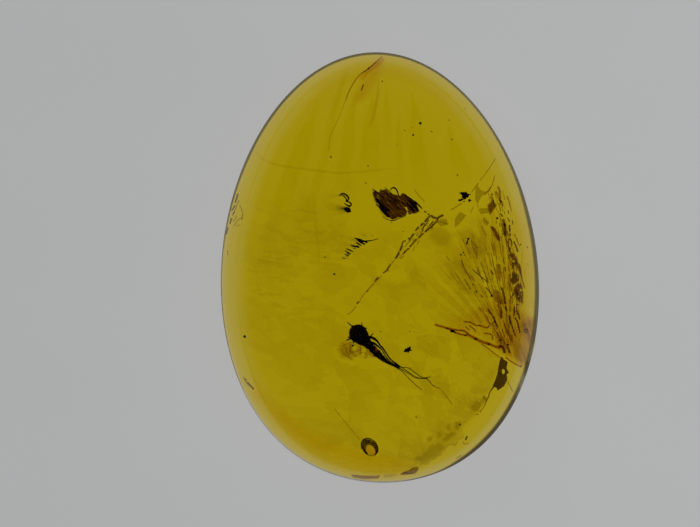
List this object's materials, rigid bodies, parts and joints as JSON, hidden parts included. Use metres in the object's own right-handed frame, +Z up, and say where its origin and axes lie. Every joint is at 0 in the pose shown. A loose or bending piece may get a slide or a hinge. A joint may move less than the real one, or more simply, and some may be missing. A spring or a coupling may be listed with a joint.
{
  "type": "insect in amber",
  "caption": "Polished egg-shaped amber cabochon with a flat back and a small winged insect and plant debris sealed inside.",
  "frame": {"origin": "under the middle of the stone, on the surface that it rests on", "axes": "+Z up out of the flat back towards the dome, +Y along the stone's length towards its narrower end, +X across its width"},
  "size_m": [0.0162, 0.022, 0.0054],
  "materials": {
    "amber_base": "clear yellow amber, polished",
    "amber_dome": "clear yellow amber, polished",
    "insect": "dark insect cuticle, slightly glossy",
    "plant_fragment": "dark red-brown fibrous scrap",
    "curled_thread": "dark brown, dull",
    "frayed_tuft": "dark brown, dull",
    "bark_flake": "dark brown, dull",
    "grain_by_insect": "black, dull",
    "grain_upper_right": "black, dull"
  },
  "bodies": {
    "root": {"amber_base": "amber_base", "amber_dome": "amber_dome", "insect": "insect", "plant_fragment": "plant_fragment", "curled_thread": "curled_thread", "frayed_tuft": "frayed_tuft", "bark_flake": "bark_flake", "grain_by_insect": "grain_by_insect", "grain_upper_right": "grain_upper_right"}
  },
  "joints": []
}
